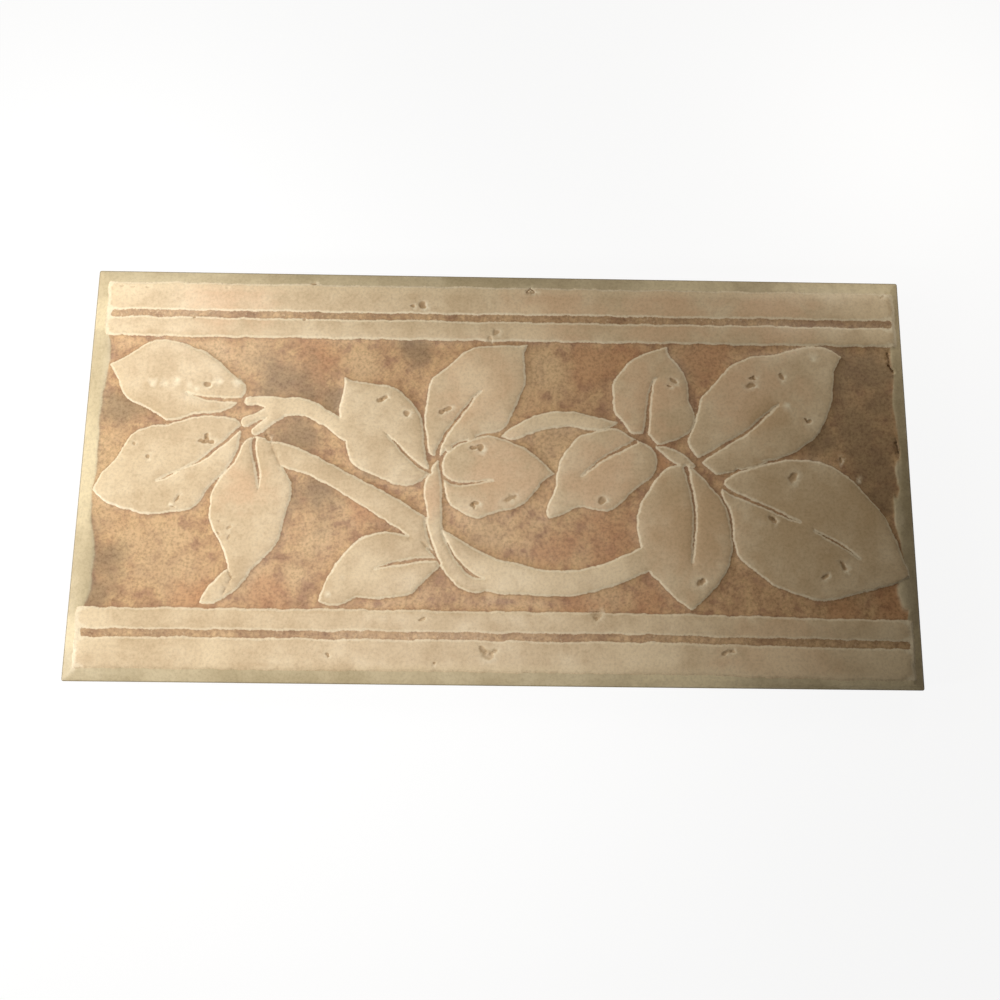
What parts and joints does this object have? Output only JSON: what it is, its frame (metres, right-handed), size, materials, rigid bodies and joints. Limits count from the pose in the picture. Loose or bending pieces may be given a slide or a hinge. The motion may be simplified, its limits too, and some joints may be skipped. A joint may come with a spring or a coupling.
{
  "type": "border tile",
  "caption": "Oblong glazed ceramic border tile with a low leaf and vine relief on a sunken panel between paired raised bands.",
  "frame": {"origin": "middle of the back face, on the surface that the tile lies on", "axes": "+X along the length of the tile, +Y across it, +Z out of its decorated face"},
  "size_m": [0.3, 0.15, 0.009],
  "materials": {
    "glazed_clay": "satin"
  },
  "bodies": {
    "root": {"border_tile": "glazed_clay"}
  },
  "joints": []
}
